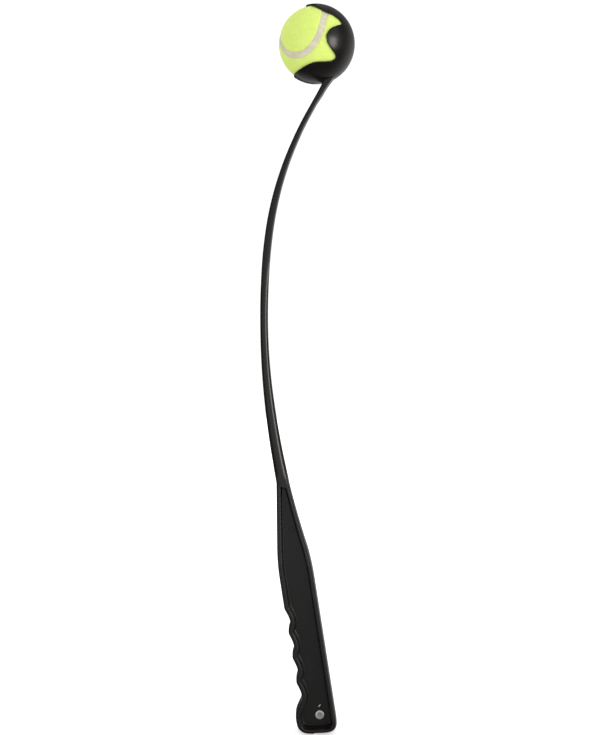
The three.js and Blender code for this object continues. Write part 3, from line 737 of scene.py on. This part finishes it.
def rivet_metal_material():
    """Pressed metal: turned rings, fine scratches, a dish painted darker as shade, and a paler, duller crest
    that is partly wear and partly a painted highlight.
    """
    material, tree, shader, place = new_material("rivet_metal", Metallic=1.0)
    x, y, z = (-0.001 * c for c in rivet_centre)
    centred = mapped(tree, place, (1, 1, 1), place=(x, y, z))
    rings = joined(
        tree,
        "ShaderNodeTexWave",
        [("Vector", centred)],
        wave_type="RINGS",
        rings_direction="Y",
        Scale=900.0,
        Distortion=1.5,
    )
    cloud, lines = noise(tree, place, 900.0, 4.0), placed_group(tree, scratches, place)
    flat = mapped(tree, place, (1, 0, 1), place=(x, 0, z))
    out = joined(tree, "ShaderNodeVectorMath", [(0, flat)], operation="LENGTH").outputs["Value"]
    # The dish is painted darker as shade; the crest is paler and less metallic, partly wear, partly a painted
    # highlight.
    worn = combined(tree, ranged(tree, out, *dish_edge, 0.0, 0.8), product(tree, cloud, 0.2))
    tree.links.new(mixed(tree, worn, dish_shade_colour, crest_wear_and_highlight_colour), shader.inputs["Base Color"])
    polish = ranged(tree, out, *dish_edge, 1.0, 0.6)
    rough = product(tree, ranged(tree, cloud, 0.3, 0.7, 0.4, 0.55), polish)
    tree.links.new(rough, shader.inputs["Roughness"])
    tree.links.new(ranged(tree, out, *dish_edge, 1.0, 0.62), shader.inputs["Metallic"])
    bumped(tree, shader, [(rings.outputs["Fac"], 0.00003, 0.3), (lines, 0.00005, 0.3)])
    return material


rivet_metal = rivet_metal_material()
rivet_parts, washer_parts = ([turned(p, rivet_centre, 72)] for p in (rivet_profile, washer_profile))
add_piece("rivet_body", rivet_parts, "launcher", rivet_metal, ("rivet",))
add_piece("rivet_ring", washer_parts, "launcher", rivet_metal, ("rivet_washer",))

# Ball cover
# Two dog-bone panels of napped wool and nylon felt, dyed a bright yellow-green. They are glued to the
# rubber core with their edges dipped in pale cement, which is the seam that winds round the ball.

ball_radius = 32.5
felt_edge, felt_roll, felt_depth = 2.6, 0.75, 2.2
fine_nap, broad_nap = 0.1, 0.12
felt_dark, felt_light = (0.63, 0.82, 0.12, 1), (0.85, 0.99, 0.31, 1)
tuft_colour, patch_colour = (0.60, 0.78, 0.11, 1), (0.84, 0.95, 0.36, 1)


def ball_turn():
    """How the ball happens to lie: rolled about X, then tilted about Y, then turned about Z."""
    roll, tilt, turn = np.radians([-15.7, -27.1, -76.4])
    about_x = np.array([[1, 0, 0], [0, np.cos(roll), -np.sin(roll)], [0, np.sin(roll), np.cos(roll)]])
    about_y = np.array([[np.cos(tilt), 0, np.sin(tilt)], [0, 1, 0], [-np.sin(tilt), 0, np.cos(tilt)]])
    about_z = np.array([[np.cos(turn), -np.sin(turn), 0], [np.sin(turn), np.cos(turn), 0], [0, 0, 1]])
    return about_z @ about_y @ about_x


def seam_way(t):
    """The seam's directions: (a cos t + b cos 3t, a sin t - b sin 3t, 2 root(ab) sin 2t), with a + b = 1."""
    a, b = 0.75, 0.25
    x, y = a * np.cos(t) + b * np.cos(3 * t), a * np.sin(t) - b * np.sin(3 * t)
    return np.stack([x, y, 2 * np.sqrt(a * b) * np.sin(2 * t)], -1)


def beside_seam(t, angle):
    """Directions moved off the seam over the sphere by an angle, square to the seam."""
    here = seam_way(t)
    aside = unit(np.cross(here, seam_way(t + 1e-4) - here))
    angle = np.asarray(angle)[..., None]
    return here * np.cos(angle) + aside * np.sin(angle)


def from_seam(directions):
    """How far each direction lies from the seam's middle line, in millimetres over the ball."""
    seam = seam_way(np.linspace(0, 2 * np.pi, 900))
    near = (directions.reshape(-1, 3) @ seam.T).max(1)
    return ball_radius * np.arccos(np.clip(near, -1, 1)).reshape(directions.shape[:-1])


def nap_height(directions, waves):
    """Unevenness of the nap, from -1 to 1: many plane waves of random way and phase added together."""
    way, phase = waves
    height = np.cos(directions.reshape(-1, 3) @ way.T + phase).sum(1) * np.sqrt(2 / len(phase))
    return np.tanh(height / 1.5).reshape(directions.shape[:-1])


def random_waves(dice, wavelength, count=48):
    """Plane waves with random ways and phases, about one wavelength long on the ball."""
    way = unit(dice.normal(size=(count, 3)))
    way *= 2 * np.pi * ball_radius / wavelength * dice.uniform(0.7, 1.4, (count, 1))
    return way, dice.uniform(0, 2 * np.pi, count)


dice = np.random.default_rng(7)
fine_waves, broad_waves = random_waves(dice, 1.5), random_waves(dice, 9.0)


def felt_radius(directions):
    """The felt's surface: uneven nap that rolls down into the seam along its edges, by a bell curve."""
    edge = felt_roll * np.exp(-(((from_seam(directions) - felt_edge) / felt_roll) ** 2))
    fine, broad = nap_height(directions, fine_waves), nap_height(directions, broad_waves)
    return ball_radius - edge + fine_nap * fine + broad_nap * broad


def panel_parts(side, ribs=150, steps=72):
    """A felt panel filled by arcs that join each place of its edge to the mirrored place, with an inner skin.

    An arc goes over the sphere from one to two: (sin((1 - s) a) one + sin(s a) two) / sin a, where a is
    the angle between them. A narrow wall joins the outer skin's border to the inner one's.
    """
    angle = side * felt_edge / ball_radius
    start = -0.25 * np.pi * side
    share = np.linspace(0, 1, ribs + 1)
    t = start + np.pi * (0.35 * (1 - np.cos(np.pi * share)) / 2 + 0.65 * share)
    one, two = beside_seam(2 * start - t, angle), beside_seam(t, angle)
    if side < 0:
        one, two = two, one
    arc = np.arccos(np.clip((one * two).sum(-1), -1, 1))[:, None, None]
    arc = np.maximum(arc, 1e-6)
    part = np.linspace(0, 1, steps + 1)[None, :, None]
    directions = (np.sin((1 - part) * arc) * one[:, None] + np.sin(part * arc) * two[:, None]) / np.sin(arc)
    directions = unit(directions)
    turn = ball_turn().T
    outer = directions * felt_radius(directions)[..., None] @ turn + ball_centre
    inner = directions * (ball_radius - felt_depth) @ turn + ball_centre
    outside, inside = (np.concatenate([grid[:, 0], grid[::-1, -1]]) for grid in (outer, inner))
    wall = np.stack([outside, outside * 0.6 + inside * 0.4, inside])
    skin = quads(ribs + 1, steps + 1, False)
    return [(outer, skin), (inner, skin), (wall, quads(3, wall.shape[1], True))]


def felt_material():
    """Dyed felt: fibres that catch light one by one, small tufts, a few paler patches, and a soft sheen."""
    material, tree, shader, place = new_material(
        "ball_felt",
        Roughness=0.95,
        Specular_IOR_Level=0.15,
        Sheen_Weight=0.35,
        Sheen_Roughness=0.45,
        Sheen_Tint=(0.93, 1.0, 0.55, 1),
    )
    fibre = noise(tree, place, 1500.0, 5.0, Roughness=0.75, Distortion=1.2)
    tuft, patch = noise(tree, place, 420.0, 3.0), noise(tree, place, 38.0, 3.0)
    colour = mixed(tree, ranged(tree, fibre, 0.32, 0.68, 0, 1), felt_dark, felt_light)
    tufted = mixed(tree, ranged(tree, tuft, 0.55, 0.75, 0, 0.5), colour, tuft_colour)
    patched = mixed(tree, ranged(tree, patch, 0.5, 0.75, 0, 0.35), tufted, patch_colour)
    tree.links.new(patched, shader.inputs["Base Color"])
    bumped(tree, shader, [(tuft, 0.0004, 0.5), (fibre, 0.0002, 0.6)])
    return material


ball_felt = felt_material()
add_piece("felt_cover_a", panel_parts(1), "ball", ball_felt, ("felt_panel_a",))
add_piece("felt_cover_b", panel_parts(-1), "ball", ball_felt, ("felt_panel_b",))

# Felt nap
# Loose fibres of the ball's felt, teased out of it when it was napped. They are rooted in it and lean
# over it in all directions, away from the seam.

fibre_radius, fibre_root, nap_from_seam = 0.045, 0.15, 2.9
spike_faces = [[0, 1, 4, 3], [1, 2, 5, 4], [2, 0, 3, 5], [3, 4, 6, 6], [4, 5, 6, 6], [5, 3, 6, 6]]
spike_faces += [[0, 2, 1, 1]]


def nap_parts(count=7000):
    """Loose fibres: three-sided spikes that bend halfway, rooted in the felt and leaning in random ways."""
    root = unit(dice.normal(size=(count * 2, 3)))
    root = root[from_seam(root) > nap_from_seam][:count]
    lean = unit(np.cross(root, dice.normal(size=root.shape)))
    aside = np.cross(root, lean)
    length, lift = dice.uniform(0.7, 1.5, (len(root), 1)), dice.uniform(0.25, 0.75, (len(root), 1))
    base = root * (felt_radius(root)[:, None] - fibre_root)
    bend = base + length * 0.5 * (lean * np.cos(lift) + root * np.sin(lift))
    tip = bend + length * 0.5 * (lean * np.cos(lift * 0.2) + root * np.sin(lift * 0.2) + aside * 0.25)
    angle = np.radians([0, 120, 240])[:, None, None]
    ring = fibre_radius * (np.cos(angle) * aside + np.sin(angle) * root)
    points = np.concatenate([base + ring, bend + ring * 0.8, tip[None]]).transpose(1, 0, 2)
    sides = np.arange(len(root))[:, None, None] * 7 + np.array(spike_faces)
    return [(points.reshape(-1, 3) @ ball_turn().T + ball_centre, sides.reshape(-1, 4))]


add_piece("felt_nap", nap_parts(), "ball", ball_felt)

# Ball seam
# The seam is vulcanised cement, a pale beige, lower than the felt on both sides and gently domed, with
# felt hairs over its edges.

seam_half_width, seam_drop, seam_depth = 3.0, 0.32, 2.4
cement_dark, cement_light = (0.62, 0.585, 0.44, 1), (0.72, 0.68, 0.52, 1)


def seam_parts(steps=420, across=13):
    """A closed band along the seam: a top that falls with the fourth power of its place, and a flat foot."""
    t = np.linspace(0, 2 * np.pi, steps, endpoint=False)[:, None]
    place = np.linspace(-1, 1, across)[None]
    directions = beside_seam(t + 0 * place, place * seam_half_width / ball_radius)
    top = ball_radius - seam_drop - seam_drop * place**4 + 0.05 * nap_height(directions, fine_waves)
    foot = directions[:, ::-1] * (ball_radius - seam_depth)
    band = np.concatenate([directions * top[..., None], foot], 1) @ ball_turn().T + ball_centre
    band = np.concatenate([band, band[:1]])
    return [(band, quads(steps + 1, 2 * across, True))]


def seam_material():
    """Cement: mottled, matt, finely pitted, with a hint of the felt's dye."""
    material, tree, shader, place = new_material("seam_cement", Roughness=0.75, Specular_IOR_Level=0.3)
    mottle, pit = noise(tree, place, 260.0, 4.0), noise(tree, place, 1400.0, 3.0)
    colour = mixed(tree, ranged(tree, mottle, 0.35, 0.65, 0, 1), cement_dark, cement_light)
    tree.links.new(colour, shader.inputs["Base Color"])
    bumped(tree, shader, [(mottle, 0.0003, 0.3), (pit, 0.0001, 0.5)])
    return material


add_piece("seam_band", seam_parts(), "ball", seam_material(), ("ball_seam",))

# Ball core
# Two hollow half shells of dark rubber, cured together. The felt covers them, so they keep their
# plain solids and get the look of cured rubber.

rubber_colours = (0.05, 0.045, 0.04, 1), (0.11, 0.1, 0.09, 1)


def rubber_material():
    """Cured rubber: nearly black, matt, with a pale bloom in patches and a fine grain."""
    material, tree, shader, place = new_material("core_rubber", Roughness=0.85)
    bloom, grain = noise(tree, place, 90.0, 4.0), noise(tree, place, 1800.0)
    tree.links.new(mixed(tree, bloom, *rubber_colours), shader.inputs["Base Color"])
    bumped(tree, shader, [(grain, 0.0001, 0.4)])
    return material


core_rubber = rubber_material()
for name in ("ball_core_front", "ball_core_back"):
    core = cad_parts[name].data
    core.materials.clear()
    core.materials.append(core_rubber)

# Camera
# The photograph looks square at the launcher's near face from about a metre away, level with the
# middle of its height.

focal_pixels, frame_pixels, film_size = 1100, 735, 36
camera_place = (-0.00264, -0.968, 0.2574)

camera = bpy.data.objects.new("camera", bpy.data.cameras.new("camera"))
bpy.context.scene.collection.objects.link(camera)
camera.data.sensor_width = film_size
camera.data.lens = film_size * focal_pixels / frame_pixels
camera.location = camera_place
camera.rotation_euler = (np.pi / 2, 0, 0)
bpy.context.scene.camera = camera

# Floor
# A large matt white floor just under the butt. It glows a little, more so far away, so that it ends in
# white, and mirror rays pass through it.

floor_height, floor_half = cad_box[0][2] - 0.0004, 6


def light_path(tree, name):
    """1 for rays of the named kind, and 0 for others."""
    return tree.nodes.new("ShaderNodeLightPath").outputs[name]


floor_corners = [(x, y, floor_height) for x, y in ((-1, -1), (1, -1), (1, 1), (-1, 1))]
floor_mesh = bpy.data.meshes.new("floor")
floor_mesh.from_pydata([(floor_half * x, floor_half * y, z) for x, y, z in floor_corners], [], [(0, 1, 2, 3)])
floor = bpy.data.objects.new("floor", floor_mesh)
bpy.context.scene.collection.objects.link(floor)
floor_material = bpy.data.materials.new("floor")
floor_material.use_nodes = True
floor_tree = floor_material.node_tree
floor_tree.nodes.remove(floor_tree.nodes["Principled BSDF"])
matt = joined(floor_tree, "ShaderNodeBsdfDiffuse", Color=(0.86, 0.86, 0.86, 1))
spot = mapped(floor_tree, floor_tree.nodes.new("ShaderNodeTexCoord").outputs["Object"], (1, 1, 0))
far = joined(floor_tree, "ShaderNodeVectorMath", [(0, spot)], operation="LENGTH").outputs["Value"]
glow = ranged(floor_tree, far, 0.35, 1.6, 0.5, 1.0)
seen = product(floor_tree, light_path(floor_tree, "Is Camera Ray"), glow)
shine = joined(floor_tree, "ShaderNodeEmission", [("Strength", seen)])
both = joined(floor_tree, "ShaderNodeAddShader", [(0, matt.outputs[0]), (1, shine.outputs[0])])
unmirrored = floor_tree.nodes.new("ShaderNodeBsdfTransparent")
choice = joined(
    floor_tree,
    "ShaderNodeMixShader",
    [(0, light_path(floor_tree, "Is Glossy Ray")), (1, both.outputs[0]), (2, unmirrored.outputs[0])],
)
floor_tree.links.new(choice.outputs[0], floor_tree.nodes["Material Output"].inputs["Surface"])
floor_mesh.materials.append(floor_material)

# Surround
# A white studio. Mirror rays see a room of bright and dark sides instead, which gives the black
# plastic its highlights. Each side has its stops of degrees and brightness, with 0 at the camera.

front_stops = [(-180, 0.04), (-20, 0.04), (-4, 0.46), (4, 0.46), (14, 0.75), (24, 0.75)]
front_stops += [(32, 0.5), (56, 0.9), (64, 0.8), (78, 0.15), (180, 0.1)]
left_stops = [(-180, 0), (-74, 0.02), (-50, 0.4), (-30, 0.65), (-14, 0.7), (-4, 0.46), (4, 0.0), (180, 0)]
right_back_stops = [(-180, 0), (90, 0.06), (112, 0.4), (125, 0.55), (150, 0.6), (180, 0.6)]
left_back_stops = [(-180, 0.9), (-152, 0.7), (-130, 0.06), (90, 0), (180, 0)]
white_seen = 1.1

world = bpy.data.worlds.new("surround")
bpy.context.scene.world = world
world.use_nodes = True
world_tree = world.node_tree
world_tree.nodes.clear()
way = world_tree.nodes.new("ShaderNodeTexCoord").outputs["Generated"]
axis = joined(world_tree, "ShaderNodeSeparateXYZ", [("Vector", way)])
turn = combined(world_tree, axis.outputs["X"], product(world_tree, axis.outputs["Y"], -1.0), "ARCTAN2")
height = axis.outputs["Z"]


def window(tree, angle, stops):
    """A brightness over the angle round the object, straight from stop to stop."""
    ramp = joined(tree, "ShaderNodeValToRGB", [("Fac", ranged(tree, angle, -np.pi, np.pi, 0, 1))])
    points = ramp.color_ramp.elements
    while len(points) < len(stops):
        points.new(1.0)
    for point, (degrees, level) in zip(points, stops):
        point.position = degrees / 360 + 0.5
        point.color = (level, level, level, 1)
    return ramp.outputs["Color"]


dimmer_low = ranged(world_tree, height, -0.34, -0.14, 0.25, 1.15)
front = product(world_tree, window(world_tree, turn, front_stops), dimmer_low)
left = window(world_tree, turn, left_stops)
left = product(world_tree, left, ranged(world_tree, height, 0.03, 0.15, 1.0, 0.2))
left = product(world_tree, left, dimmer_low)
left_back = window(world_tree, turn, left_back_stops)
left_back = product(world_tree, left_back, ranged(world_tree, height, -0.42, -0.2, 1.0, 0.06))
back = combined(world_tree, window(world_tree, turn, right_back_stops), left_back, "MAXIMUM")
room = combined(world_tree, combined(world_tree, front, left, "MAXIMUM"), back, "MAXIMUM")
dimmer_high = ranged(world_tree, height, 0.05, 0.55, 1.0, 0.4)
dark_under = ranged(world_tree, height, -0.95, -0.3, 0.15, 1.0)
mirror = product(world_tree, room, product(world_tree, dimmer_high, dark_under))
soft = ranged(world_tree, height, -0.6, 1.0, 0.82, 1.02)
unseen = mixed(world_tree, light_path(world_tree, "Is Glossy Ray"), soft, mirror, "FLOAT")
strength = mixed(world_tree, light_path(world_tree, "Is Camera Ray"), unseen, white_seen, "FLOAT")
surround = joined(world_tree, "ShaderNodeBackground", [("Strength", strength)], Color=(1, 1, 1, 1))
sky = world_tree.nodes.new("ShaderNodeOutputWorld")
world_tree.links.new(surround.outputs[0], sky.inputs["Surface"])

# Lamp
# One soft, slightly warm rectangular lamp, to the right of the camera and level with the shaft. It is
# turned to the middle of the stick.

lamp_place, lamp_aim = Vector((1.15, -0.96, 0.42)), Vector((0, 0, 0.4))
lamp_width, lamp_height, lamp_power, lamp_colour = 0.53, 0.63, 6.0, (1.0, 0.94, 0.86)

lamp = bpy.data.objects.new("lamp_right", bpy.data.lights.new("lamp_right", "AREA"))
bpy.context.scene.collection.objects.link(lamp)
lamp.data.shape = "RECTANGLE"
lamp.data.size, lamp.data.size_y = lamp_width, lamp_height
lamp.data.energy = lamp_power
lamp.data.color = lamp_colour
lamp.location = lamp_place
lamp.rotation_euler = (lamp_aim - lamp_place).to_track_quat("-Z", "Y").to_euler()

bpy.context.scene.view_settings.view_transform = "Standard"
